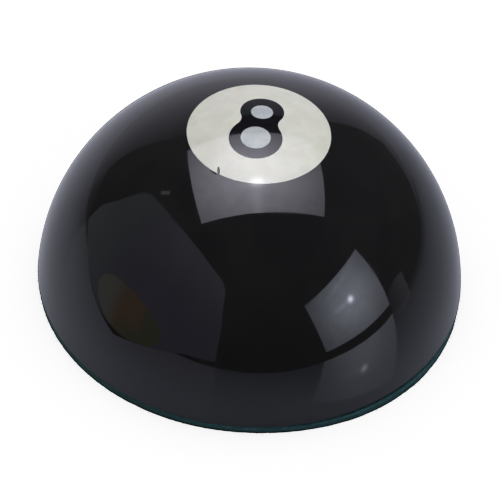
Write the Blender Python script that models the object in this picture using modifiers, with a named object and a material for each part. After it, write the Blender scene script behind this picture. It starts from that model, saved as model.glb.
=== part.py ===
"""Half pool ball pocket marker: a black number eight ball cut flat, with a felt pad underneath.

The marker is a solid resin casting. An ivory disc is let into its pole, a black numeral into
the disc, and a white core into each of the numeral's two loops. A film of adhesive holds the
felt pad on the flat cut. Metres, +Z up. The origin is the centre of the felt's underside,
+Z runs out through the pole, and +Y points from the numeral's foot to its head.
"""

import math

import bmesh
import bpy

MM = 0.001

# Driving dimensions
BALL_RADIUS = 57.15 * MM / 2  # a regulation 2 1/4 inch ball
FELT_THICKNESS = 0.9 * MM
FILM_THICKNESS = 0.1 * MM
BOND_GAP = 0.1 * MM  # left between bonded pieces, so that their meshes never touch
FELT_INSET = 0.15 * MM  # how far the felt is trimmed inside the resin's edge
FILM_INSET = 0.6 * MM  # how far the adhesive stops short of the resin's edge
EDGE_BREAK = 0.25 * MM  # chamfer that takes the sharp edge off the cut
FELT_EDGE_ROUND = 0.15 * MM

# Number spot
DISC_RADIUS = 9.45 * MM
DISC_DEPTH = 6.0 * MM  # from the pole to the disc's floor
NUMERAL_DEPTH = 3.0 * MM  # from the pole to the numeral's floor

# The numeral's outline is two round loops, joined by a fillet at each side of the waist
UPPER_LOOP = {
    "y": 2.80 * MM,
    "radius": 2.88 * MM,
    "hole_y": 2.62 * MM,
    "hole": (1.45 * MM, 1.42 * MM),
}
LOWER_LOOP = {
    "y": -2.36 * MM,
    "radius": 3.50 * MM,
    "hole_y": -2.43 * MM,
    "hole": (1.94 * MM, 1.93 * MM),
}
NUMERAL_OFFSET = -0.10 * MM  # the numeral sits this far to one side of the disc's centre
WAIST_FILLET = 1.0 * MM

# Facets
TURNED_STEPS = 72
DOME_STEP = math.radians(5.0)
OUTLINE_STEP = math.radians(12.0)
SHARP_ANGLE = math.radians(25.0)  # edges at a steeper angle than this are shaded sharp
EDGE_SEGMENTS = 2
MERGE_DISTANCE = 0.01 * MM

# Worked out from the above
FILM_FLOOR = FELT_THICKNESS + BOND_GAP
CUT_HEIGHT = FILM_FLOOR + FILM_THICKNESS + BOND_GAP  # the resin's flat underside
CUT_RADIUS = math.sqrt(BALL_RADIUS**2 - CUT_HEIGHT**2)
SOCKET_RADIUS = DISC_RADIUS + BOND_GAP
DISC_FLOOR = BALL_RADIUS - DISC_DEPTH
NUMERAL_FLOOR = BALL_RADIUS - NUMERAL_DEPTH
CUTTER_TOP = BALL_RADIUS + 2.0 * MM  # clear above the pole

# Principled BSDF colour (linear), roughness and metallic value of each material
MATERIALS = {
    "black_resin": ((0.004, 0.004, 0.005, 1.0), 0.06, 0.0),
    "ivory_resin": ((0.64, 0.60, 0.49, 1.0), 0.08, 0.0),
    "white_resin": ((0.66, 0.68, 0.70, 1.0), 0.08, 0.0),
    "adhesive": ((0.55, 0.52, 0.42, 1.0), 0.35, 0.0),
    "teal_felt": ((0.010, 0.085, 0.080, 1.0), 0.95, 0.0),
}


def clear_scene():
    for obj in list(bpy.data.objects):
        bpy.data.objects.remove(obj, do_unlink=True)


def new_collection(name):
    collection = bpy.data.collections.new(name)
    bpy.context.scene.collection.children.link(collection)
    return collection


def material(name):
    """The named material, made the first time that it is asked for."""
    if name in bpy.data.materials:
        return bpy.data.materials[name]
    colour, roughness, metallic = MATERIALS[name]
    made = bpy.data.materials.new(name)
    made.use_nodes = True
    shader = made.node_tree.nodes["Principled BSDF"]
    shader.inputs["Base Color"].default_value = colour
    shader.inputs["Roughness"].default_value = roughness
    shader.inputs["Metallic"].default_value = metallic
    made.diffuse_color = colour
    return made


def link(obj, collection, material_name=None):
    """Puts an object in one collection only, and gives it its material."""
    for other in list(obj.users_collection):
        other.objects.unlink(obj)
    collection.objects.link(obj)
    if material_name:
        obj.data.materials.clear()
        obj.data.materials.append(material(material_name))
    return obj


def as_cutter(obj, collection):
    """Marks an object as a cutter, which the render and the build leave out."""
    obj.hide_render = True
    obj.display_type = "WIRE"
    return link(obj, collection)


def dome_arc(first, last):
    """Points (radius, height) down the ball's surface, from one angle off the pole to another."""
    count = max(1, math.ceil((last - first) / DOME_STEP))
    angles = [first + (last - first) * i / count for i in range(count + 1)]
    return [(BALL_RADIUS * math.sin(a), BALL_RADIUS * math.cos(a)) for a in angles]


def turned(name, profile):
    """A solid of revolution about Z, from a profile of (radius, height) that runs top to bottom."""
    mesh = bpy.data.meshes.new(name)
    edges = [(i, i + 1) for i in range(len(profile) - 1)]
    mesh.from_pydata([(radius, 0.0, height) for radius, height in profile], edges, [])
    obj = bpy.data.objects.new(name, mesh)
    bpy.context.scene.collection.objects.link(obj)
    screw = obj.modifiers.new("turn", "SCREW")
    screw.axis = "Z"
    screw.steps = screw.render_steps = TURNED_STEPS
    screw.use_merge_vertices = True
    screw.merge_threshold = MERGE_DISTANCE
    return obj


def applied(obj):
    """Swaps an object's mesh for the one that its modifiers make, and drops the modifiers."""
    graph = bpy.context.evaluated_depsgraph_get()
    mesh = bpy.data.meshes.new_from_object(obj.evaluated_get(graph))
    obj.modifiers.clear()
    obj.data = mesh
    return obj


def boolean(obj, operation, other):
    """Adds a Boolean that cuts obj with other, or keeps only what the two share."""
    modifier = obj.modifiers.new(operation.lower(), "BOOLEAN")
    modifier.operation = operation
    modifier.solver = "EXACT"
    modifier.object = other


def shade(obj):
    obj.data.shade_smooth()
    obj.data.set_sharp_from_angle(angle=SHARP_ANGLE)
    return obj


def arc(centre, radius, start, end):
    """Points round an arc, without its last one, where the next arc starts."""
    count = max(2, math.ceil(abs(end - start) / OUTLINE_STEP))
    angles = [start + (end - start) * i / count for i in range(count)]
    return [(centre[0] + radius * math.cos(a), centre[1] + radius * math.sin(a)) for a in angles]


def waist_centre():
    """Centre of the right-hand waist fillet, a circle that touches both loops from outside."""
    upper, lower = UPPER_LOOP["radius"] + WAIST_FILLET, LOWER_LOOP["radius"] + WAIST_FILLET
    top, foot = UPPER_LOOP["y"], LOWER_LOOP["y"]
    y = (lower**2 - upper**2 + top**2 - foot**2) / (2 * (top - foot))
    return math.sqrt(upper**2 - (y - top) ** 2), y


def numeral_outline(grow):
    """The figure eight's outer outline, counter-clockwise, moved outwards by grow."""
    x, y = waist_centre()
    to_upper = math.atan2(UPPER_LOOP["y"] - y, x)  # the fillet's rise to each loop's centre
    to_lower = math.atan2(LOWER_LOOP["y"] - y, x)
    upper_centre, lower_centre = (0.0, UPPER_LOOP["y"]), (0.0, LOWER_LOOP["y"])
    fillet = WAIST_FILLET - grow
    points = arc(lower_centre, LOWER_LOOP["radius"] + grow, to_lower - math.pi, -to_lower)
    points += arc((x, y), fillet, math.pi - to_lower, math.pi - to_upper)
    points += arc(upper_centre, UPPER_LOOP["radius"] + grow, -to_upper, math.pi + to_upper)
    points += arc((-x, y), fillet, to_upper, to_lower)
    return [(NUMERAL_OFFSET + x, y) for x, y in points]


def counter_outline(loop, grow):
    """The hole in one of the numeral's loops, moved outwards by grow."""
    half_width, half_height = (half + grow for half in loop["hole"])
    circle = arc((0.0, 0.0), 1.0, 0.0, math.tau)
    return [
        (NUMERAL_OFFSET + half_width * x, loop["hole_y"] + half_height * y) for x, y in circle
    ]


def prism(name, outlines, floor, top):
    """A closed mesh: a flat outline, with any further outlines as its holes, extruded upright."""
    curve = bpy.data.curves.new(name, "CURVE")
    curve.dimensions = "2D"
    curve.fill_mode = "BOTH"
    curve.extrude = (top - floor) / 2
    for outline in outlines:
        spline = curve.splines.new("POLY")
        spline.points.add(len(outline) - 1)
        for point, (x, y) in zip(spline.points, outline):
            point.co = (x, y, 0.0, 1.0)
        spline.use_cyclic_u = True
    guide = bpy.data.objects.new(name + "_curve", curve)
    guide.location.z = (top + floor) / 2
    bpy.context.scene.collection.objects.link(guide)
    bpy.context.view_layer.update()
    graph = bpy.context.evaluated_depsgraph_get()
    mesh = bpy.data.meshes.new_from_object(guide.evaluated_get(graph))
    obj = bpy.data.objects.new(name, mesh)
    obj.matrix_world = guide.matrix_world
    bpy.context.scene.collection.objects.link(obj)
    bpy.data.objects.remove(guide, do_unlink=True)
    shape = bmesh.new()
    shape.from_mesh(mesh)
    bmesh.ops.remove_doubles(shape, verts=shape.verts, dist=MERGE_DISTANCE)
    bmesh.ops.recalc_face_normals(shape, faces=shape.faces)
    shape.to_mesh(mesh)
    shape.free()
    return obj


def make_ball_envelope(collection):
    """The whole top of the ball, which trims the inlays flush with its surface."""
    profile = dome_arc(0.0, math.pi / 2) + [(0.0, 0.0)]
    return as_cutter(turned("ball_envelope", profile), collection)


def make_half_ball(collection):
    """The black casting: a dome with a socket at the pole and a flat cut below."""
    socket_edge = math.asin(SOCKET_RADIUS / BALL_RADIUS)
    chamfer_top = math.acos((CUT_HEIGHT + EDGE_BREAK) / BALL_RADIUS)
    profile = [(0.0, DISC_FLOOR), (SOCKET_RADIUS, DISC_FLOOR)]
    profile += dome_arc(socket_edge, chamfer_top)
    profile += [(CUT_RADIUS - EDGE_BREAK, CUT_HEIGHT), (0.0, CUT_HEIGHT)]
    return shade(applied(link(turned("half_ball", profile), collection, "black_resin")))


def make_number_disc(collection, cutters):
    """The ivory disc in the socket, with a pocket in it for the numeral."""
    profile = dome_arc(0.0, math.asin(DISC_RADIUS / BALL_RADIUS))
    profile += [(DISC_RADIUS, DISC_FLOOR + BOND_GAP), (0.0, DISC_FLOOR + BOND_GAP)]
    disc = link(turned("number_disc", profile), collection, "ivory_resin")
    pocket = prism("numeral_pocket", [numeral_outline(BOND_GAP / 2)], NUMERAL_FLOOR, CUTTER_TOP)
    boolean(disc, "DIFFERENCE", as_cutter(pocket, cutters))
    return shade(applied(disc))


def make_inlay(name, outlines, material_name, envelope, collection):
    """A piece of the number: an upright prism trimmed to the ball's surface."""
    piece = prism(name, outlines, NUMERAL_FLOOR + BOND_GAP, CUTTER_TOP)
    link(piece, collection, material_name)
    boolean(piece, "INTERSECT", envelope)
    return shade(applied(piece))


def make_number(collection, envelope):
    """The numeral in the disc's pocket, and the white core in each of its loops."""
    loops = {"upper_counter": UPPER_LOOP, "lower_counter": LOWER_LOOP}
    outlines = [numeral_outline(-BOND_GAP / 2)]
    outlines += [counter_outline(loop, BOND_GAP / 2) for loop in loops.values()]
    make_inlay("numeral_eight", outlines, "black_resin", envelope, collection)
    for name, loop in loops.items():
        outline = counter_outline(loop, -BOND_GAP / 2)
        make_inlay(name, [outline], "white_resin", envelope, collection)


def round_sheet(name, radius, floor, thickness):
    middle = (0.0, 0.0, floor + thickness / 2)
    bpy.ops.mesh.primitive_cylinder_add(
        vertices=TURNED_STEPS, radius=radius, depth=thickness, location=middle
    )
    sheet = bpy.context.object
    sheet.name = sheet.data.name = name
    return sheet


def make_adhesive_film(collection):
    film = round_sheet("adhesive_film", CUT_RADIUS - FILM_INSET, FILM_FLOOR, FILM_THICKNESS)
    return shade(link(film, collection, "adhesive"))


def make_felt_pad(collection):
    pad = round_sheet("felt_pad", CUT_RADIUS - FELT_INSET, 0.0, FELT_THICKNESS)
    edge = pad.modifiers.new("soft edge", "BEVEL")
    edge.width = FELT_EDGE_ROUND
    edge.segments = EDGE_SEGMENTS
    edge.limit_method = "ANGLE"
    return shade(applied(link(pad, collection, "teal_felt")))


def main():
    clear_scene()
    marker = new_collection("half_pool_ball_marker")
    cutters = new_collection("cutters")
    envelope = make_ball_envelope(cutters)
    make_half_ball(marker)
    make_number_disc(marker, cutters)
    make_number(marker, envelope)
    make_adhesive_film(marker)
    make_felt_pad(marker)


main()
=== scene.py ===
"""Looks of the half pool ball marker: polished resin, an inlaid number and a felt pad, in a studio.

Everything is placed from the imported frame, in metres, +Z up. The frame's origin is the centre of
the felt's underside, which is also the centre of the whole ball that the marker was cut from, so
the ball's surface is every point one radius from the origin.
"""
import math
import random

import bmesh
import bpy
from mathutils import Matrix, Vector, noise


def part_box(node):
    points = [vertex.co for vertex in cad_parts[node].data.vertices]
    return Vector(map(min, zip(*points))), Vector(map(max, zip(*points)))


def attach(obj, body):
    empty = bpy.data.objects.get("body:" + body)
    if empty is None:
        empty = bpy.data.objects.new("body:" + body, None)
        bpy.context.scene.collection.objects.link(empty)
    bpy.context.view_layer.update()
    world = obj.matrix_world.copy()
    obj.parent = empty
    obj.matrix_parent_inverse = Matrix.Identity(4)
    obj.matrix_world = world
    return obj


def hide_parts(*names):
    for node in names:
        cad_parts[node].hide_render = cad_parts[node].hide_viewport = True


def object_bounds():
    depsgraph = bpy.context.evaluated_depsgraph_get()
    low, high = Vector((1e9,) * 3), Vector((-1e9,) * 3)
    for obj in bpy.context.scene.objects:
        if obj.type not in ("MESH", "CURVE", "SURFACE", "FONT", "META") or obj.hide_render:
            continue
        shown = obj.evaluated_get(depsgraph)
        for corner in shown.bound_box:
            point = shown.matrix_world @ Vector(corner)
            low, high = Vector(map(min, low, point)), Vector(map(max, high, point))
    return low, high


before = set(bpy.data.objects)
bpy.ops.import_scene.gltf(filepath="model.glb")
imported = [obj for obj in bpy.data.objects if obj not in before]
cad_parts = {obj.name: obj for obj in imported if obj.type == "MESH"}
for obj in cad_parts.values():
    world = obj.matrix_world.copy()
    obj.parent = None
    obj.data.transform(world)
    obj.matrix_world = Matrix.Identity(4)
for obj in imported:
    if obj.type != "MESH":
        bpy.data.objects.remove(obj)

CAD_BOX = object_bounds()
MM = 0.001

# Sizes that the frame gives
BALL_RADIUS = CAD_BOX[1].z
SOCKET_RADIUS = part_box("number_disc")[1].x + 0.02 * MM  # the disc sits in it with a hairline
FELT_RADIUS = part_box("felt_pad")[1].x
FELT_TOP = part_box("adhesive_film")[0].z
CUT_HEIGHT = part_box("adhesive_film")[1].z  # the resin's flat underside sits on the adhesive
DISC_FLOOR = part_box("number_disc")[0].z
NUMERAL_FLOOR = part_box("numeral_eight")[0].z
EDGE_TOP = 1.45 * MM  # the dome ends here, in the rounded edge of the cut
HAIRLINE = 0.012 * MM  # the joint between inlaid pieces

# The numeral is two round loops, joined by a fillet at each side of the waist
UPPER_LOOP = {
    "y": 2.80 * MM,
    "radius": 2.88 * MM,
    "hole_y": 2.62 * MM,
    "hole": (1.45 * MM, 1.42 * MM),
}
LOWER_LOOP = {
    "y": -2.36 * MM,
    "radius": 3.50 * MM,
    "hole_y": -2.34 * MM,
    "hole": (1.97 * MM, 1.91 * MM),
}
NUMERAL_OFFSET = -0.10 * MM  # the numeral sits this far to one side of the disc's centre
WAIST_FILLET = 1.8 * MM

# Mesh fineness
TURNED_STEPS = 288
DOME_STEP = math.radians(1.25)
OUTLINE_STEP = math.radians(3.0)
MERGE_DISTANCE = 0.001 * MM
SHARP_ANGLE = math.radians(30)
CHIP_STEPS = 20

# The felt was cut by hand: its edge wanders, and stands proud of the resin on one side
FELT_WANDER = 0.05 * MM
FELT_WAVES = ((9.0 * MM, 1.0), (2.5 * MM, 0.6), (0.9 * MM, 0.35))  # the wander's (length, share)
FELT_PROUD = {"angle": math.radians(-37), "reach": math.radians(48), "size": 0.45 * MM}
FELT_SHADED_SIDE = math.radians(-20)  # painted shade: the felt's edge is darker towards this side, which faces the side softbox
FELT_ROUND = 0.2 * MM
FELT_ROUGH = 0.035 * MM
FELT_STEPS = 540
FELT_RINGS = (0.2, 0.4, 0.6, 0.8, 0.95)  # shares of the radius, across both faces
FELT_WALL_STEPS = 5

# Loose fibres out of the felt's edge: lengths and radii in mm
FIBRES = 2600
FIBRE_SEED = 8
FIBRE_ROOT = 0.04 * MM  # how deep a fibre starts inside the edge
FIBRE_MEDIAN = 0.16
FIBRE_LONGEST = 0.42
FIBRE_RADII = (0.006, 0.011)
FIBRE_STEPS = 3
FIBRE_SIDES = 3

# Chips at the joint between the disc and the casting: half sizes across, along and deep
CHIPS = (
    {
        "place": (-3.93 * MM, -8.17 * MM),
        "half": (0.17 * MM, 0.64 * MM, 0.12 * MM),
        "turn": math.radians(36),
    },
    {
        "place": (-4.56 * MM, -8.46 * MM),
        "half": (0.55 * MM, 0.15 * MM, 0.10 * MM),
        "turn": 0.0,
    },
)

# Materials: what smudges and scratches add to the polish's roughness, and the marks' heights
IOR = 1.55
SMUDGE = 0.035
SCRATCH = 0.10
SCRATCH_DEPTH = 0.0008 * MM
RIPPLE_HEIGHT = 0.0022 * MM
FELT_SHADE_TONE = (0.004, 0.012, 0.012)  # the colour of the painted shade at the felt's foot and on its side towards the side softbox

# Camera: azimuth 0 looks along +Y, and a positive one stands towards +X
CAMERA_AZIMUTH = 7.0
CAMERA_ELEVATION = 45.0
CAMERA_ROLL = 3.85
CAMERA_DISTANCE = 20 * BALL_RADIUS
CAMERA_AIM = (-0.005 * BALL_RADIUS, 0.194 * BALL_RADIUS)  # to the right of the axis, and up it
CAMERA_CLIP = (0.01, 20.0)
SENSOR = 36.0
LENS = 304.3

# Studio: the paper sweep behind the marker and the screen at its left
SWEEP_FOOT = 0.24
SWEEP_CURVE = 0.10
SWEEP_ROWS = 12
SCREEN_AZIMUTH = -60.0
CLOTH_FOLDS = (0.16, 0.80, 1.20)  # size of a softbox's folds, and the glow's factors
ROOM_COLOUR = (0.062, 0.062, 0.063)


# ---------------------------------------------------------------- shapes

def link(obj):
    bpy.context.scene.collection.objects.link(obj)
    return obj


def evaluated_mesh(obj):
    bpy.context.view_layer.update()
    graph = bpy.context.evaluated_depsgraph_get()
    return bpy.data.meshes.new_from_object(obj.evaluated_get(graph))


def applied(obj):
    """Swaps an object's mesh for the one that its modifiers make, and drops the modifiers."""
    mesh = evaluated_mesh(obj)
    mesh.name = obj.name
    obj.modifiers.clear()
    obj.data = mesh
    return obj


def turned(name, profile, steps=TURNED_STEPS):
    """A solid of revolution about Z, from a profile of (radius, height) that runs top to bottom."""
    mesh = bpy.data.meshes.new(name)
    edges = [(i, i + 1) for i in range(len(profile) - 1)]
    mesh.from_pydata([(radius, 0.0, height) for radius, height in profile], edges, [])
    obj = link(bpy.data.objects.new(name, mesh))
    screw = obj.modifiers.new("turn", "SCREW")
    screw.axis = "Z"
    screw.steps = screw.render_steps = steps
    screw.use_merge_vertices = True
    screw.merge_threshold = MERGE_DISTANCE
    return applied(obj)


def arc(centre, radius, start, end, step=OUTLINE_STEP):
    """Points round an arc, without its last one, where the next stretch starts."""
    count = max(2, math.ceil(abs(end - start) / step))
    angles = [start + (end - start) * i / count for i in range(count)]
    return [(centre[0] + radius * math.cos(a), centre[1] + radius * math.sin(a)) for a in angles]


def ellipse(centre, half, step=OUTLINE_STEP):
    circle = arc((0.0, 0.0), 1.0, 0.0, math.tau, step)
    return [(centre[0] + half[0] * x, centre[1] + half[1] * y) for x, y in circle]


def dome_arc(first, last):
    """Points (radius, height) down the ball's surface, from one angle off the pole to another."""
    count = math.ceil((last - first) / DOME_STEP)
    angles = [first + (last - first) * i / count for i in range(count + 1)]
    return [(BALL_RADIUS * math.sin(a), BALL_RADIUS * math.cos(a)) for a in angles]


def numeral_outline(grow):
    """The figure eight's outer outline, counter-clockwise, moved outwards by grow."""
    upper, lower = UPPER_LOOP["radius"] + WAIST_FILLET, LOWER_LOOP["radius"] + WAIST_FILLET
    top, foot = UPPER_LOOP["y"], LOWER_LOOP["y"]
    y = (lower**2 - upper**2 + top**2 - foot**2) / (2 * (top - foot))
    x = math.sqrt(upper**2 - (y - top) ** 2)
    to_upper, to_lower = math.atan2(top - y, x), math.atan2(foot - y, x)
    fillet = WAIST_FILLET - grow
    points = arc((0.0, foot), LOWER_LOOP["radius"] + grow, to_lower - math.pi, -to_lower)
    points += arc((x, y), fillet, math.pi - to_lower, math.pi - to_upper)
    points += arc((0.0, top), UPPER_LOOP["radius"] + grow, -to_upper, math.pi + to_upper)
    points += arc((-x, y), fillet, to_upper, to_lower)
    return [(NUMERAL_OFFSET + x, y) for x, y in points]


def counter_outline(loop, grow):
    """The hole in one of the numeral's loops, moved outwards by grow."""
    return ellipse((NUMERAL_OFFSET, loop["hole_y"]), [half + grow for half in loop["hole"]])


def prism(name, outlines, floor, top):
    """A closed mesh: a flat outline, with any further outlines as its holes, extruded upright."""
    curve = bpy.data.curves.new(name, "CURVE")
    curve.dimensions = "2D"
    curve.fill_mode = "BOTH"
    curve.extrude = (top - floor) / 2
    for outline in outlines:
        spline = curve.splines.new("POLY")
        spline.points.add(len(outline) - 1)
        for point, (x, y) in zip(spline.points, outline):
            point.co = (x, y, 0.0, 1.0)
        spline.use_cyclic_u = True
    guide = link(bpy.data.objects.new(name + "_curve", curve))
    mesh = evaluated_mesh(guide)
    bpy.data.objects.remove(guide, do_unlink=True)
    mesh.transform(Matrix.Translation((0.0, 0.0, (top + floor) / 2)))
    shape = bmesh.new()
    shape.from_mesh(mesh)
    bmesh.ops.remove_doubles(shape, verts=shape.verts, dist=MERGE_DISTANCE)
    bmesh.ops.recalc_face_normals(shape, faces=shape.faces)
    shape.to_mesh(mesh)
    shape.free()
    return link(bpy.data.objects.new(name, mesh))


def boolean(obj, operation, other):
    """Cuts obj with other, or keeps only what the two share, and removes other.

    Corners that the cut leaves closer together than half the merge distance become one.
    """
    modifier = obj.modifiers.new("cut", "BOOLEAN")
    modifier.operation = operation
    modifier.solver = "EXACT"
    modifier.object = other
    applied(obj)
    bpy.data.objects.remove(other, do_unlink=True)
    shape = bmesh.new()
    shape.from_mesh(obj.data)
    bmesh.ops.remove_doubles(shape, verts=shape.verts, dist=MERGE_DISTANCE / 2)
    shape.to_mesh(obj.data)
    shape.free()
    return obj


def chipped(obj):
    """Cuts the small chips out of a piece of the domed top."""
    for chip in CHIPS:
        x, y = chip["place"]
        place = Vector((x, y, math.sqrt(BALL_RADIUS**2 - x * x - y * y)))
        turn = place.to_track_quat("Z", "Y").to_matrix().to_4x4()
        shape = bmesh.new()
        bmesh.ops.create_uvsphere(shape, u_segments=CHIP_STEPS, v_segments=CHIP_STEPS // 2, radius=1.0)
        shape.transform(Matrix.Diagonal((*chip["half"], 1.0)))
        shape.transform(turn @ Matrix.Rotation(chip["turn"], 4, "Z"))
        shape.transform(Matrix.Translation(place))
        mesh = bpy.data.meshes.new("chip")
        shape.to_mesh(mesh)
        shape.free()
        boolean(obj, "DIFFERENCE", link(bpy.data.objects.new("chip", mesh)))
    return obj


def polish(obj):
    """Smooth shading, with exact normals where a face lies on the ball's surface."""
    mesh = obj.data
    mesh.shade_smooth()
    mesh.set_sharp_from_angle(angle=SHARP_ANGLE)
    normals = [Vector((0.0, 0.0, 0.0))] * len(mesh.loops)
    for face in mesh.polygons:
        corners = [mesh.vertices[v].co for v in face.vertices]
        if all(abs(corner.length - BALL_RADIUS) < HAIRLINE / 4 for corner in corners):
            for loop, corner in zip(face.loop_indices, corners):
                normals[loop] = corner.normalized()
    mesh.normals_split_custom_set(normals)
    return obj


# ---------------------------------------------------------------- pieces

def make_resin_half_ball():
    """The black casting: a dome with a socket for the number disc and a flat cut below."""
    rim = math.sqrt(BALL_RADIUS**2 - EDGE_TOP**2)
    edge_round = EDGE_TOP - CUT_HEIGHT
    profile = [(0.0, DISC_FLOOR - HAIRLINE), (SOCKET_RADIUS, DISC_FLOOR - HAIRLINE)]
    profile += dome_arc(math.asin(SOCKET_RADIUS / BALL_RADIUS), math.acos(EDGE_TOP / BALL_RADIUS))
    profile += arc((rim - edge_round, EDGE_TOP), edge_round, 0.0, -math.pi / 2, math.radians(15))[1:]
    profile += [(rim - edge_round, CUT_HEIGHT), (0.0, CUT_HEIGHT)]
    return polish(chipped(turned("resin_half_ball", profile)))


def make_number_disc():
    """The ivory disc, domed flush with the ball, with a pocket for the numeral."""
    radius = SOCKET_RADIUS - HAIRLINE
    profile = dome_arc(0.0, math.asin(radius / BALL_RADIUS))
    profile += [(radius, DISC_FLOOR), (0.0, DISC_FLOOR)]
    disc = turned("ivory_number_disc", profile)
    pocket = prism("pocket", [numeral_outline(HAIRLINE / 2)], NUMERAL_FLOOR, BALL_RADIUS + MM)
    return polish(chipped(boolean(disc, "DIFFERENCE", pocket)))


def make_inlay(name, outlines):
    """A piece of the number: an upright prism ground flush with the ball's surface."""
    piece = prism(name, outlines, NUMERAL_FLOOR + HAIRLINE, BALL_RADIUS + MM)
    ball = turned("ball", dome_arc(0.0, math.pi / 2) + [(0.0, 0.0)])
    return polish(boolean(piece, "INTERSECT", ball))


def felt_outline(angle):
    """The felt's radius at an angle: cut by hand, with a stretch that stands proud."""
    wander = 0.0
    for length, share in FELT_WAVES:
        spot = Vector((math.cos(angle), math.sin(angle), share))
        wander += noise.noise(spot * FELT_RADIUS / length) * share
    off = (angle - FELT_PROUD["angle"] + math.pi) % math.tau - math.pi
    proud = 0.0
    if abs(off) < FELT_PROUD["reach"]:
        proud = FELT_PROUD["size"] * math.cos(off / FELT_PROUD["reach"] * math.pi / 2) ** 2
    return FELT_RADIUS + FELT_WANDER * wander + proud


def make_felt():
    """The felt disc: flat below, with a soft cut edge, in rings of (share of the radius, inset, z)."""
    top, soft = FELT_TOP, FELT_ROUND
    corner = [(1 - math.sin(a), 1 - math.cos(a)) for a in (math.radians(30), math.radians(60))]
    wall = [soft + (top - 2 * soft) * i / FELT_WALL_STEPS for i in range(FELT_WALL_STEPS + 1)]
    rings = [(share, 0.0, 0.0) for share in FELT_RINGS] + [(1.0, soft, 0.0)]
    rings += [(1.0, soft * inset, soft * rise) for inset, rise in corner]
    rings += [(1.0, 0.0, z) for z in wall]
    rings += [(1.0, soft * inset, top - soft * rise) for inset, rise in reversed(corner)]
    rings += [(1.0, soft, top)] + [(share, 0.0, top) for share in reversed(FELT_RINGS)]
    shape = bmesh.new()
    loops = []
    for share, inset, z in rings:
        loop = []
        for i in range(FELT_STEPS):
            angle = math.tau * i / FELT_STEPS
            radius = felt_outline(angle) * share - inset
            place = Vector((radius * math.cos(angle), radius * math.sin(angle), z))
            if share == 1.0:
                rough = noise.noise(place / (0.45 * MM)) + 0.6 * noise.noise(place / (0.2 * MM))
                place.xy += place.xy.normalized() * FELT_ROUGH * rough
            loop.append(shape.verts.new(place))
        loops.append(loop)
    for lower, upper in zip(loops, loops[1:]):
        for i in range(FELT_STEPS):
            j = (i + 1) % FELT_STEPS
            shape.faces.new((lower[i], lower[j], upper[j], upper[i]))
    for loop, z in ((loops[0], 0.0), (loops[-1], top)):
        centre = shape.verts.new((0.0, 0.0, z))
        for i in range(FELT_STEPS):
            shape.faces.new((centre, loop[i], loop[(i + 1) % FELT_STEPS]))
    bmesh.ops.recalc_face_normals(shape, faces=shape.faces)
    mesh = bpy.data.meshes.new("felt_disc")
    shape.to_mesh(mesh)
    shape.free()
    mesh.shade_smooth()
    return link(bpy.data.objects.new("felt_disc", mesh))


def make_fuzz():
    """Loose fibres that stand out of the felt's cut edge, each a thin bent thread."""
    draw = random.Random(FIBRE_SEED)
    vertices, faces = [], []
    for _ in range(FIBRES):
        angle, height = draw.uniform(0, math.tau), draw.uniform(0.06, 0.94) * FELT_TOP
        out = Vector((math.cos(angle), math.sin(angle), 0.0))
        around = Vector((-out.y, out.x, 0.0))
        root = out * (felt_outline(angle) - FIBRE_ROOT) + Vector((0.0, 0.0, height))
        length = min(draw.lognormvariate(math.log(FIBRE_MEDIAN), 0.5), FIBRE_LONGEST) * MM
        lean = out + around * draw.gauss(0.0, 0.9) + Vector((0.0, 0.0, draw.gauss(0.0, 0.5)))
        bend = around * draw.gauss(0.0, 0.8) + Vector((0.0, 0.0, draw.gauss(-0.3, 0.4)))
        thick = draw.uniform(*FIBRE_RADII) * MM
        first = len(vertices)
        for step in range(FIBRE_STEPS + 1):
            along = step / FIBRE_STEPS
            spot = root + length * (lean.normalized() * along + bend * along**2 * 0.6)
            spot.z = min(max(spot.z, 0.02 * MM), FELT_TOP - 0.02 * MM)
            radius = thick * (1 - 0.7 * along)
            for side in range(FIBRE_SIDES):
                a = math.tau * side / FIBRE_SIDES
                vertices.append(spot + radius * (around * math.cos(a) + Vector((0, 0, math.sin(a)))))
        for step in range(FIBRE_STEPS):
            lower = first + FIBRE_SIDES * step
            upper = lower + FIBRE_SIDES
            for side in range(FIBRE_SIDES):
                other = (side + 1) % FIBRE_SIDES
                faces.append((lower + side, lower + other, upper + other, upper + side))
        tip = first + FIBRE_SIDES * FIBRE_STEPS
        faces.append(range(first + FIBRE_SIDES - 1, first - 1, -1))
        faces.append(range(tip, tip + FIBRE_SIDES))
    mesh = bpy.data.meshes.new("felt_fuzz")
    mesh.from_pydata(vertices, [], faces)
    mesh.shade_smooth()
    return link(bpy.data.objects.new("felt_fuzz", mesh))


# ---------------------------------------------------------------- materials

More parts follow.
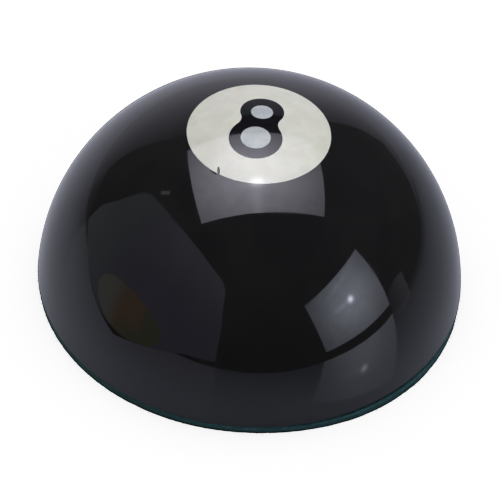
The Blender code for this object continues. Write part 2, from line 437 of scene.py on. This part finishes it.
class Look:
    """A material's nodes, built from small steps. Every pattern is laid out in metres."""

    def __init__(self, name, colour=(0.5, 0.5, 0.5), roughness=0.5, **settings):
        self.material = bpy.data.materials.new(name)
        self.material.use_nodes = True
        self.tree = self.material.node_tree
        self.shader = self.tree.nodes["Principled BSDF"]
        self.shader.inputs["Base Color"].default_value = (*colour, 1.0)
        self.shader.inputs["Roughness"].default_value = roughness
        self.shader.inputs["IOR"].default_value = IOR
        for socket, value in settings.items():
            self.shader.inputs[socket.replace("_", " ")].default_value = value
        self.place = self.tree.nodes.new("ShaderNodeTexCoord").outputs["Object"]

    def node(self, kind, inputs, output=0, **settings):
        made = self.tree.nodes.new(kind)
        for name, value in settings.items():
            setattr(made, name, value)
        for socket, value in inputs.items():
            if isinstance(value, bpy.types.NodeSocket):
                self.tree.links.new(value, made.inputs[socket])
            else:
                made.inputs[socket].default_value = value
        return made.outputs[output]

    def axis(self, index):
        """One coordinate of a point, in metres: 0, 1 or 2 for x, y or z."""
        return self.node("ShaderNodeSeparateXYZ", {0: self.place}, index)

    def noise(self, size, detail=3.0, stretch=(1.0, 1.0, 1.0), distortion=0.0):
        """Soft noise whose features are about size metres across, longer along stretched axes."""
        scale = [1.0 / (size * axis) for axis in stretch]
        place = self.node("ShaderNodeVectorMath", {0: self.place, 1: scale}, operation="MULTIPLY")
        inputs = {"Vector": place, "Scale": 1.0, "Detail": detail, "Distortion": distortion}
        return self.node("ShaderNodeTexNoise", inputs, "Fac")

    def maths(self, operation, *values):
        inputs = dict(enumerate(values))
        return self.node("ShaderNodeMath", inputs, operation=operation)

    def span(self, value, low, high, to_low=0.0, to_high=1.0):
        """Maps low..high smoothly to to_low..to_high, and holds the ends."""
        inputs = {0: value, 1: low, 2: high, 3: to_low, 4: to_high}
        return self.node("ShaderNodeMapRange", inputs, interpolation_type="SMOOTHSTEP")

    def blend(self, share, first, second):
        """Mixes two colours, each a plain (r, g, b) or another step."""
        inputs = {0: share}
        for socket, colour in ((6, first), (7, second)):
            inputs[socket] = (*colour, 1.0) if isinstance(colour, tuple) else colour
        return self.node("ShaderNodeMix", inputs, 2, data_type="RGBA")

    def bump(self, height, depth, normal=None):
        """Raises the surface by up to depth metres where height is 1."""
        inputs = {"Height": height, "Distance": depth, "Strength": 1.0}
        if normal:
            inputs["Normal"] = normal
        return self.node("ShaderNodeBump", inputs)

    def hairlines(self, size, width, stretch):
        """Thin broken lines, where a stretched noise crosses its middle value."""
        field = self.noise(size, 1.0, stretch, 0.4)
        off = self.maths("ABSOLUTE", self.maths("SUBTRACT", field, 0.5))
        line = self.span(off, 0.0, width, 1.0, 0.0)
        breaks = self.span(self.noise(size * 0.6, 2.0), 0.52, 0.62)
        return self.maths("MULTIPLY", line, breaks)

    def below_surface(self):
        """1 in the joints and chips under the ball's surface, 0 on it."""
        depth = self.node("ShaderNodeVectorMath", {0: self.place}, "Value", operation="LENGTH")
        return self.span(depth, BALL_RADIUS - 0.05 * MM, BALL_RADIUS - 0.01 * MM, 1.0, 0.0)

    def finish(self, **links):
        """Links steps to the shader's sockets, and gives the material."""
        for socket, value in links.items():
            self.tree.links.new(value, self.shader.inputs[socket.replace("_", " ")])
        return self.material

    def glowing(self, colour, strength=1.0):
        """Gives the material as a plain glow, in place of the shader."""
        emission = self.node("ShaderNodeEmission", {"Color": colour, "Strength": strength})
        self.tree.links.new(emission, self.tree.nodes["Material Output"].inputs["Surface"])
        return self.material


def cast_resin(name, dark, light, roughness, patch, recess_dirt_and_shade=None, **settings):
    """Polished phenolic: a faint mottle, finger smudges, hairline scratches and a slight ripple."""
    look = Look(name, light, roughness, **settings)
    mottle = look.span(look.noise(patch, 5.0, distortion=0.6), 0.35, 0.65)
    colour = look.blend(mottle, dark, light)
    # dirt and painted shade: the colour darkens in the chips and joints below the ball's surface
    if recess_dirt_and_shade:
        colour = look.blend(look.below_surface(), colour, recess_dirt_and_shade)
    smudge = look.span(look.noise(9 * MM, 5.0, distortion=1.2), 0.50, 0.72, 0.0, SMUDGE)
    scratch = look.maths(
        "MAXIMUM",
        look.hairlines(6 * MM, 0.0022, (1.0, 4.0, 1.0)),
        look.hairlines(5 * MM, 0.0020, (3.5, 1.0, 2.0)),
    )
    rough = look.maths("ADD", smudge, look.maths("MULTIPLY_ADD", scratch, SCRATCH, roughness))
    ripple = look.bump(look.noise(3.2 * MM, 1.0), RIPPLE_HEIGHT)
    normal = look.bump(look.maths("SUBTRACT", 1.0, scratch), SCRATCH_DEPTH, ripple)
    return look.finish(Base_Color=colour, Roughness=rough, Normal=normal)


def wool_felt(name, shade, colour, lint):
    """Matted fibres with a rough nap and a sheen, with painted shade at the foot and on the side that
    faces the side softbox.
    """
    look = Look(
        name, colour, 0.95, Sheen_Weight=0.15, Sheen_Roughness=0.45,
        Sheen_Tint=(*lint, 1.0), Specular_IOR_Level=0.15,
    )
    strands = look.noise(0.16 * MM, 4.0, (3.0, 3.0, 0.6), 2.0)
    tufts = look.noise(1.1 * MM, 3.0)
    tone = look.blend(look.span(strands, 0.35, 0.70), shade, colour)
    tone = look.blend(look.span(tufts, 0.55, 0.80, 0.0, 0.35), tone, lint)
    # painted contact shadow: the felt darkens towards its foot
    painted_foot_shade = look.span(look.axis(2), 0.20 * MM, 0.62 * MM, 0.85, 0.0)
    # painted shade: the edge darkens on the side that faces the side softbox, to even out its light
    shaded_way = (math.cos(FELT_SHADED_SIDE), math.sin(FELT_SHADED_SIDE), 0.0)
    reach = look.node(
        "ShaderNodeVectorMath", {0: look.place, 1: shaded_way}, "Value", operation="DOT_PRODUCT"
    )
    painted_side_shade = look.span(reach, 0.35 * FELT_RADIUS, FELT_RADIUS, 0.0, 0.42)
    tone = look.blend(look.maths("MAXIMUM", painted_foot_shade, painted_side_shade), tone, FELT_SHADE_TONE)
    nap = look.maths("MULTIPLY_ADD", tufts, 0.5, strands)
    return look.finish(Base_Color=tone, Normal=look.bump(nap, 0.06 * MM))


def adhesive(name):
    """The glue line: clear amber, dusty along its edge, with drawn streaks."""
    look = Look(name, (0.05, 0.045, 0.035), 0.35, Transmission_Weight=0.2)
    dust = look.noise(0.5 * MM, 4.0, (3.0, 3.0, 0.5))
    colour = look.blend(look.span(dust, 0.4, 0.7), (0.020, 0.020, 0.018), (0.075, 0.070, 0.058))
    rough = look.span(dust, 0.3, 0.7, 0.25, 0.55)
    return look.finish(Base_Color=colour, Roughness=rough, Normal=look.bump(dust, 0.01 * MM))


# ---------------------------------------------------------------- studio

def direction(azimuth, elevation=0.0):
    """The unit vector from the marker towards a place round it, seen from the camera's azimuth."""
    a, e = math.radians(CAMERA_AZIMUTH + azimuth), math.radians(elevation)
    return Vector((math.sin(a) * math.cos(e), -math.cos(a) * math.cos(e), math.sin(e)))


def facing(azimuth, elevation, distance, sideways=0.0, upwards=0.0, roll=0.0):
    """A frame that faces the marker from a direction, moved within its own plane."""
    out, along = direction(azimuth, elevation), direction(azimuth + 90)
    turn = Matrix((along, out.cross(along), out)).transposed().to_4x4()
    place = Matrix.Translation(out * distance) @ turn @ Matrix.Rotation(math.radians(roll), 4, "Z")
    return place @ Matrix.Translation((sideways, upwards, 0.0))


def make_camera():
    """The camera: a long lens from far off, aimed a little above the marker's base, and rolled."""
    right, back = direction(90), direction(0, CAMERA_ELEVATION)
    aim = right * CAMERA_AIM[0] + Vector((0.0, 0.0, CAMERA_AIM[1]))
    place = back * CAMERA_DISTANCE
    camera = bpy.data.cameras.new("camera")
    camera.sensor_width = SENSOR
    camera.lens = LENS
    camera.clip_start, camera.clip_end = CAMERA_CLIP
    obj = link(bpy.data.objects.new("camera", camera))
    turn = (place - aim).to_track_quat("Z", "Y").to_matrix().to_4x4()
    roll = Matrix.Rotation(math.radians(CAMERA_ROLL), 4, "Z")
    obj.matrix_world = Matrix.Translation(place) @ turn @ roll
    bpy.context.scene.camera = obj


class Glow:
    """The nodes that make a soft panel's light: a broad glow, spots on it, and a cloth's folds."""

    def __init__(self, light, place):
        self.tree = light.node_tree
        self.turn = place.to_3x3()
        position = self.tree.nodes.new("ShaderNodeNewGeometry").outputs["Position"]
        self.local = self.vector("SUBTRACT", position, place.translation)

    def vector(self, operation, first, second, output=0):
        return self.step("ShaderNodeVectorMath", operation, (first, second), output)

    def maths(self, operation, *values):
        return self.step("ShaderNodeMath", operation, values)

    def step(self, kind, operation, values, output=0):
        made = self.tree.nodes.new(kind)
        made.operation = operation
        for socket, value in zip(made.inputs, values):
            if isinstance(value, bpy.types.NodeSocket):
                self.tree.links.new(value, socket)
            else:
                socket.default_value = value
        return made.outputs[output]

    def squared_distance(self, middle, reach, angle=0.0):
        """How far a point is from middle on the panel, in reaches along and across an angle."""
        turn = self.turn @ Matrix.Rotation(math.radians(angle), 3, "Z")
        total = 0.0
        for axis in (0, 1):
            arm = turn.col[axis]
            start = arm.dot(self.turn @ Vector((*middle, 0.0)))
            along = self.vector("DOT_PRODUCT", self.local, arm, "Value")
            share = self.maths("DIVIDE", self.maths("SUBTRACT", along, start), reach[axis])
            total = self.maths("MULTIPLY_ADD", share, share, total)
        return total

    def broad(self, peak, spread, middle):
        """A glow that falls to half its peak at spread from the middle."""
        far = self.squared_distance(middle, (spread, spread))
        return self.maths("DIVIDE", peak, self.maths("ADD", far, 1.0))

    def spot(self, strength, middle, reach, angle=0.0):
        """A brighter place that fades like a bell within its reach along and across the angle."""
        far = self.squared_distance(middle, reach, angle)
        return self.maths("MULTIPLY", self.maths("POWER", 1 / math.e, far), strength)

    def folds(self, size, low, high):
        """A cloth's faint unevenness, as a factor from low to high."""
        noise_step = self.tree.nodes.new("ShaderNodeTexNoise")
        noise_step.inputs["Scale"].default_value = 1 / size
        noise_step.inputs["Detail"].default_value = 3.0
        noise_step.inputs["Distortion"].default_value = 1.0
        self.tree.links.new(self.local, noise_step.inputs["Vector"])
        return self.maths("MULTIPLY_ADD", noise_step.outputs["Fac"], high - low, low)


def soft_panel(name, place, width, height, colour, broad, spots):
    """An area light of cloth: broad is its glow, and spots are brighter places on it."""
    light = bpy.data.lights.new(name, "AREA")
    light.shape = "RECTANGLE"
    light.size, light.size_y = width, height
    light.energy = width * height * math.pi  # a radiance of 1, which the nodes multiply
    light.color = colour
    light.use_nodes = True
    glow = Glow(light, place)
    strength = glow.maths("MULTIPLY", glow.broad(**broad), glow.folds(*CLOTH_FOLDS))
    for spot in spots:
        strength = glow.maths("ADD", strength, glow.spot(**spot))
    light.node_tree.links.new(strength, light.node_tree.nodes["Emission"].inputs["Strength"])
    obj = link(bpy.data.objects.new(name, light))
    obj.matrix_world = place
    obj.visible_camera = False


def linked_fill(name, size, energy, place, receivers):
    """A plain square light that only the named objects receive, unseen by camera and gloss."""
    bulb = bpy.data.lights.new(name, "AREA")
    bulb.size = size
    bulb.energy = energy
    fill = link(bpy.data.objects.new(name, bulb))
    fill.matrix_world = place
    fill.visible_camera = fill.visible_glossy = False
    lit = bpy.data.collections.new("lit_by_" + name)
    for receiver in receivers:
        lit.objects.link(bpy.data.objects[receiver])
    fill.light_linking.receiver_collection = lit
    return bulb


def make_overhead_softbox():
    """The large softbox above the marker and behind it, brightest where its bulb is."""
    turn = Matrix.Rotation(math.radians(CAMERA_AZIMUTH + 10.5), 4, "Z")
    soft_panel(
        "overhead_softbox",
        turn @ Matrix.Translation((0.073, 0.329, 1.0)),
        width=1.240,
        height=1.004,
        colour=(0.96, 0.94, 1.09),
        broad={"peak": 4.3, "spread": 0.45, "middle": (-0.073, -0.066)},
        spots=(
            {"strength": 8.0, "middle": (-0.035, -0.190), "reach": (0.055, 0.040)},
            {"strength": 0.5, "middle": (-0.07, -0.22), "reach": (0.16, 0.07)},
            {"strength": 0.7, "middle": (-0.055, -0.36), "reach": (0.05, 0.22)},
        ),
    )


def make_side_softbox():
    """The smaller softbox at the right, with a bare bulb behind its cloth."""
    bulb = (0.066, 0.040)
    soft_panel(
        "side_softbox",
        facing(
            azimuth=70.3, elevation=20.7, distance=1.0, sideways=-0.230, upwards=-0.065, roll=2.8
        ),
        width=0.784,
        height=0.591,
        colour=(0.90, 0.956, 1.14),
        broad={"peak": 2.6, "spread": 0.30, "middle": bulb},
        spots=(
            {"strength": 11.0, "middle": bulb, "reach": (0.026, 0.026)},
            {"strength": 0.8, "middle": (-0.03, 0.040), "reach": (0.10, 0.022)},
            {"strength": 0.4, "middle": (0.09, 0.23), "reach": (0.22, 0.03), "angle": 10.0},
        ),
    )


def make_fills():
    """One light that whitens the floor's shadow, and one that lifts the felt's left side."""
    above = Matrix.Translation((0.0, 0.0, 2.0))
    left = facing(azimuth=-75.0, elevation=12.0, distance=1.0)
    bulb = linked_fill("floor_fill", size=3.0, energy=1300.0, place=above, receivers=["floor"])
    bulb.use_shadow = False
    felt = ["felt_disc", "felt_fuzz"]
    linked_fill("felt_fill", size=1.0, energy=1.3, place=left, receivers=felt)


def make_world():
    """White behind the floor for the camera, and a dark room for the light and the gloss."""
    world = bpy.data.worlds.new("studio")
    bpy.context.scene.world = world
    world.use_nodes = True
    tree = world.node_tree
    room = tree.nodes["Background"]
    room.inputs["Color"].default_value = (*ROOM_COLOUR, 1.0)
    white = tree.nodes.new("ShaderNodeBackground")
    white.inputs["Color"].default_value = (1.0, 1.0, 1.0, 1.0)
    mix = tree.nodes.new("ShaderNodeMixShader")
    path = tree.nodes.new("ShaderNodeLightPath")
    tree.links.new(path.outputs["Is Camera Ray"], mix.inputs[0])
    tree.links.new(room.outputs[0], mix.inputs[1])
    tree.links.new(white.outputs[0], mix.inputs[2])
    tree.links.new(mix.outputs[0], tree.nodes["World Output"].inputs["Surface"])


def make_floor():
    """The white floor: it shows only the marker's shadow, and the gloss doesn't mirror it."""
    bpy.ops.mesh.primitive_plane_add(size=6.0, location=(0.0, 0.0, 0.0))
    floor = bpy.context.object
    floor.name = "floor"
    floor.is_shadow_catcher = True
    floor.visible_glossy = floor.visible_diffuse = floor.visible_shadow = False
    look = Look("white_floor", (0.85, 0.85, 0.85), 0.8)
    tone = look.blend(look.noise(0.4 * MM), (0.84, 0.84, 0.84), (0.86, 0.86, 0.86))
    floor.data.materials.append(look.finish(Base_Color=tone))


def board(name, corners, place, material, faces=None):
    """A card that only the gloss mirrors. Its corners are (x, y), or (x, y, z) if it is folded."""
    points = [Vector(corner).to_3d() for corner in corners]
    mesh = bpy.data.meshes.new(name)
    mesh.from_pydata(points, [], faces or [range(len(points))])
    mesh.shade_smooth()
    mesh.materials.append(material)
    obj = link(bpy.data.objects.new(name, mesh))
    obj.matrix_world = place
    obj.visible_camera = obj.visible_diffuse = obj.visible_shadow = False


def make_table(level):
    """The table's paper: x to the right of the camera's view, and y away from it. Its tone carries
    painted shade.
    """
    near_edge = (
        (-0.50, 0.077), (-0.050, -0.034), (-0.090, -0.145), (0.00, -0.118), (0.09, -0.097),
        (0.15, -0.058), (0.30, -0.02),
    )
    far_edge = ((0.34, SWEEP_FOOT), (-0.60, SWEEP_FOOT))
    look = Look("table_paper", (0.68, 0.71, 0.75), 0.085)
    x, y = look.axis(0), look.axis(1)
    # painted shadow: the paper darkens to the right of the marker and in front of it, where the
    # marker's shadow and the light's falloff lie
    tone = look.blend(look.span(x, -0.04, 0.06), (0.72, 0.75, 0.78), (0.51, 0.54, 0.57))
    tone = look.blend(look.span(x, 0.08, 0.28), tone, (0.22, 0.23, 0.24))
    tone = look.blend(look.span(y, 0.0, -0.05, 0.0, 0.36), tone, (0.18, 0.22, 0.26))
    board("table", near_edge + far_edge, level, look.finish(Base_Color=tone))


def make_sweep(level):
    """The paper that curves up behind the table; its top edge falls away towards both ends. It glows
    with painted light.
    """
    top_edge = (
        (-0.70, 0.050), (-0.62, 0.108), (-0.42, 0.128), (-0.39, 0.165), (-0.35, 0.223),
        (-0.28, 0.355), (-0.22, 0.360), (0.10, 0.300), (0.156, 0.217), (0.19, 0.135),
        (0.204, 0.078), (0.25, 0.064), (0.28, 0.045), (0.34, 0.004),
    )
    corners = []
    for x, length in top_edge:
        for row in range(SWEEP_ROWS + 1):
            along = length * row / SWEEP_ROWS
            angle = min(along / SWEEP_CURVE, math.pi / 2)
            straight = max(along - SWEEP_CURVE * math.pi / 2, 0.0)
            y = SWEEP_FOOT + SWEEP_CURVE * math.sin(angle)
            corners.append((x, y, SWEEP_CURVE * (1 - math.cos(angle)) + straight))
    column = SWEEP_ROWS + 1
    strips = [
        (i, i + 1, i + 1 + column, i + column)
        for i in range(len(corners) - column)
        if (i + 1) % column
    ]
    look = Look("sweep_paper")
    x, z = look.axis(0), look.axis(2)
    # painted light: the paper's glow is brightest low in the middle and dims towards both ends and
    # upwards
    left, right = look.span(x, -0.05, -0.55, 1.0, 0.20), look.span(x, 0.0, 0.24, 1.0, 0.35)
    height = look.span(z, 0.0, 0.34, 0.48, 0.17)
    strength = look.maths("MULTIPLY", look.maths("MULTIPLY", left, right), height)
    board("sweep", corners, level, look.glowing((0.98, 0.98, 1.14, 1.0), strength), strips)


def make_screen():
    """The grey screen at the left, which glows with painted light: x sideways, and y up from the level
    of the table.
    """
    foot = (
        (-1.30, 0.02), (-0.84, -0.03), (-0.66, -0.085), (-0.37, -0.178), (-0.2, -0.200),
        (0.02, -0.195), (0.16, -0.170), (0.45, -0.075), (0.62, -0.043), (1.05, -0.05),
    )
    right_side = ((1.07, 0.45), (1.0, 1.06), (0.88, 1.185))
    top = ((0.3, 1.245), (-0.1, 1.23), (-0.72, 1.16))
    left_side = ((-0.98, 1.10), (-1.09, 1.0), (-1.17, 0.55), (-1.32, 0.27))
    look = Look("screen_cloth")
    x, y = look.axis(0), look.axis(1)
    base = look.blend(look.span(x, -0.75, -0.05), (0.225, 0.255, 0.27), (0.215, 0.20, 0.28))
    # painted light: the glow is lighter high up and towards larger x
    high = look.maths("MULTIPLY", look.span(y, 0.45, 1.15), look.span(x, -0.7, 0.1))
    tone = look.blend(high, base, (0.32, 0.31, 0.39))
    place = facing(SCREEN_AZIMUTH, elevation=0.0, distance=1.0)
    board("screen", foot + right_side + top + left_side, place, look.glowing(tone))


def make_warm_card():
    """Something round and warm that stands before the screen, pale at its left, glowing with painted
    light.
    """
    outline = ellipse((-0.075, 0.0), (0.385, 0.195), math.radians(12))
    look = Look("warm_cloth")
    x, y = look.axis(0), look.axis(1)
    tone = look.blend(look.span(x, -0.28, -0.10), (0.36, 0.355, 0.33), (0.35, 0.215, 0.135))
    olive = look.maths("MAXIMUM", look.span(y, 0.0, -0.12), look.span(x, 0.06, 0.15))
    olive = look.maths("MULTIPLY", olive, look.span(x, -0.2, 0.0))
    tone = look.blend(olive, tone, (0.22, 0.22, 0.15))
    place = facing(SCREEN_AZIMUTH, elevation=0.0, distance=0.98)
    board("warm_card", outline, place, look.glowing(tone))


def make_bright_strip():
    """A narrow bright strip high up, off the screen's top corner: a card that glows with painted
    light, and that the gloss mirrors as a small glint.
    """
    corners = ((-0.014, -0.034), (0.005, 0.049), (0.038, 0.054), (0.020, -0.029))
    look = Look("strip_card")
    tone = look.blend(look.noise(0.03), (0.50, 0.50, 0.52), (0.62, 0.62, 0.64))
    place = facing(azimuth=-104.0, elevation=45.0, distance=1.0)
    board("bright_strip", corners, place, look.glowing(tone))


def make_small_card():
    """A small pale thing beyond the table at the right, glowing with painted light."""
    corners = (
        (-0.22, -0.15), (0.06, -0.15), (0.04, -0.11), (0.011, 0.011), (0.020, 0.10),
        (-0.078, 0.128), (-0.189, 0.118), (-0.235, 0.065),
    )
    look = Look("small_cloth")
    tone = look.blend(look.span(look.axis(0), -0.24, 0.02), (0.13, 0.125, 0.145), (0.27, 0.26, 0.29))
    place = facing(azimuth=93.0, elevation=0.0, distance=1.0)
    board("small_card", corners, place, look.glowing(tone))


def make_studio():
    """The white floor that the camera sees, and the lights and boards that the gloss mirrors."""
    make_floor()
    ahead = Matrix.Rotation(math.radians(CAMERA_AZIMUTH), 4, "Z")
    level = ahead @ Matrix.Translation((0.0, 0.0, -0.1 * MM))
    make_table(level)
    make_sweep(level)
    make_screen()
    make_bright_strip()
    make_warm_card()
    make_small_card()
    make_overhead_softbox()
    make_side_softbox()
    make_fills()
    make_world()


# ---------------------------------------------------------------- the marker

def make_resin_pieces():
    """The five resin pieces, each under the name of the node that it replaces."""
    loops = (UPPER_LOOP, LOWER_LOOP)
    numeral = [numeral_outline(-HAIRLINE / 2)]
    numeral += [counter_outline(loop, HAIRLINE / 2) for loop in loops]
    upper, lower = (counter_outline(loop, -HAIRLINE / 2) for loop in loops)
    return {
        "half_ball": make_resin_half_ball(),
        "number_disc": make_number_disc(),
        "numeral_eight": make_inlay("black_numeral", numeral),
        "upper_counter": make_inlay("upper_core", [upper]),
        "lower_counter": make_inlay("lower_core", [lower]),
    }


def resin_materials():
    """Each resin piece's material, under the same names; patch is the size of its mottle."""
    return {
        "half_ball": cast_resin(
            "black_phenolic",
            dark=(0.0085, 0.0085, 0.0086),
            light=(0.0115, 0.0113, 0.0110),
            roughness=0.035,
            patch=7 * MM,
        ),
        "number_disc": cast_resin(
            "ivory_phenolic",
            dark=(0.805, 0.81, 0.64),
            light=(0.865, 0.875, 0.71),
            roughness=0.05,
            patch=2.5 * MM,
            # dirt and painted shade in the chips and the disc's joint
            recess_dirt_and_shade=(0.10, 0.09, 0.07),
            Subsurface_Weight=0.2,
            Subsurface_Scale=0.4 * MM,
        ),
        "numeral_eight": cast_resin(
            "numeral_phenolic",
            dark=(0.0035, 0.0035, 0.0050),
            light=(0.0060, 0.0060, 0.0085),
            roughness=0.05,
            patch=1.5 * MM,
        ),
        "upper_counter": cast_resin(
            "upper_core_phenolic",
            dark=(0.52, 0.57, 0.55),
            light=(0.62, 0.66, 0.63),
            roughness=0.05,
            patch=0.8 * MM,
        ),
        "lower_counter": cast_resin(
            "lower_core_phenolic",
            dark=(0.49, 0.55, 0.51),
            light=(0.60, 0.645, 0.58),
            roughness=0.05,
            patch=1.0 * MM,
        ),
    }


def main():
    make_camera()
    pieces, resins = make_resin_pieces(), resin_materials()
    for node, piece in pieces.items():
        piece.data.materials.clear()
        piece.data.materials.append(resins[node])
        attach(piece, "root")
        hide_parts(node)

    felt, fuzz = make_felt(), make_fuzz()
    wool = {
        felt: wool_felt(
            "teal_wool",
            shade=(0.032, 0.092, 0.095),
            colour=(0.115, 0.300, 0.305),
            lint=(0.26, 0.44, 0.45),
        ),
        fuzz: wool_felt(
            "teal_lint",
            shade=(0.04, 0.13, 0.13),
            colour=(0.12, 0.28, 0.29),
            lint=(0.24, 0.42, 0.43),
        ),
    }
    for piece, cloth in wool.items():
        piece.data.materials.append(cloth)
        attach(piece, "root")
    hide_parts("felt_pad")
    bpy.data.objects["adhesive_film"].material_slots[0].material = adhesive("glue_line")
    make_studio()
    bpy.context.scene.view_settings.view_transform = "Standard"


main()
